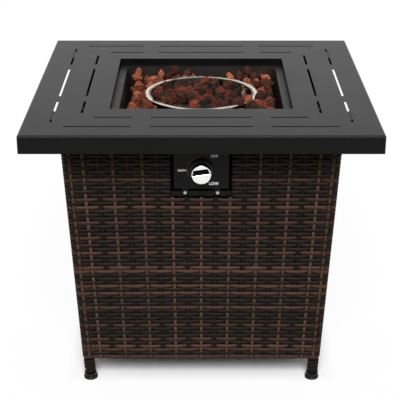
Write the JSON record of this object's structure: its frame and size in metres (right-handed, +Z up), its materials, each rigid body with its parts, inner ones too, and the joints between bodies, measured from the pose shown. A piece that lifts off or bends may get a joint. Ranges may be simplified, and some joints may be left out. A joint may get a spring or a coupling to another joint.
{
  "type": "gas fire pit table",
  "caption": "Square outdoor gas fire pit table: slotted steel top with a lava-rock fire pan, front gas knob and a tapered wicker base with a rear cylinder door.",
  "frame": {"origin": "on the floor, under the middle of the square table top", "axes": "+Z up; the knob and control panel face -Y, so +X is to the right of someone facing the knob"},
  "size_m": [0.711, 0.711, 0.6],
  "materials": {
    "black_coat": "matte black powder coat",
    "pan_enamel": "heat-proof black enamel",
    "stainless": "heat-tinted stainless steel",
    "zinc_steel": "zinc-plated steel",
    "brass": "plain machined brass",
    "ceramic": "white fired ceramic",
    "lead_insulation": "black silicone sleeve",
    "lava_rock": "porous red-brown lava rock",
    "valve_casting": "die-cast, plain",
    "black_plastic": "black moulded plastic",
    "chrome": "bright chrome plate",
    "wicker": "mixed brown resin wicker"
  },
  "bodies": {
    "table": {"tabletop": "black_coat", "corner_braces": "black_coat", "control_panel": "black_coat", "panel_frame": "black_coat", "door_stiles": "black_coat", "top_rail_front": "black_coat", "top_rail_right": "black_coat", "top_rail_back": "black_coat", "top_rail_left": "black_coat", "low_rail_front": "black_coat", "low_rail_right": "black_coat", "low_rail_back": "black_coat", "low_rail_left": "black_coat", "leg_1": "black_coat", "leg_2": "black_coat", "leg_3": "black_coat", "leg_4": "black_coat", "fire_pan": "pan_enamel", "burner_dish": "stainless", "flame_plate": "stainless", "pilot_bracket": "stainless", "top_bolts": "zinc_steel", "burner_stub": "zinc_steel", "mixer_tube": "zinc_steel", "panel_screws": "zinc_steel", "valve_nut": "zinc_steel", "hinge_leaves_fixed": "zinc_steel", "hinge_pins": "zinc_steel", "stub_nut": "brass", "gas_jet": "brass", "feed_pipe": "brass", "gas_inlet": "brass", "flame_sensor": "brass", "spark_electrode": "ceramic", "ignition_lead": "lead_insulation", "rocks_inner": "lava_rock", "rocks_outer": "lava_rock", "valve_body": "valve_casting", "door_catch": "black_plastic", "foot_1": "black_plastic", "foot_2": "black_plastic", "foot_3": "black_plastic", "foot_4": "black_plastic", "wicker_front": "wicker", "wicker_right": "wicker", "wicker_back": "wicker", "wicker_left": "wicker", "leg_wrap_1": "wicker", "leg_wrap_2": "wicker", "leg_wrap_3": "wicker", "leg_wrap_4": "wicker"},
    "valve_plug": {"valve_plug": "brass", "return_spring": "zinc_steel"},
    "knob": {"valve_spindle": "zinc_steel", "knob_body": "black_plastic", "knob_face": "chrome"},
    "door": {"door_frame": "black_coat", "door_wicker": "wicker", "hinge_leaves_door": "zinc_steel", "door_pull": "black_coat"}
  },
  "joints": [
    {"name": "knob_turn", "type": "hinge", "parent": "table", "child": "valve_plug", "pos_m": [0, -0.27985, 0.5], "axis": [0, -0.9988, -0.0499], "range_deg": [-100, 130]},
    {"name": "knob_push", "type": "slide", "parent": "valve_plug", "child": "knob", "axis": [0, 0.9988, 0.0499], "range_m": [0, 0.003], "stiffness_N_per_m": 900, "springref_m": -0.002, "deforming": ["return_spring"]},
    {"name": "door_hinge", "type": "hinge", "parent": "table", "child": "door", "pos_m": [-0.1815, 0.27423, 0.29941], "axis": [0, 0.0499, 0.9988], "range_deg": [0, 110]}
  ]
}
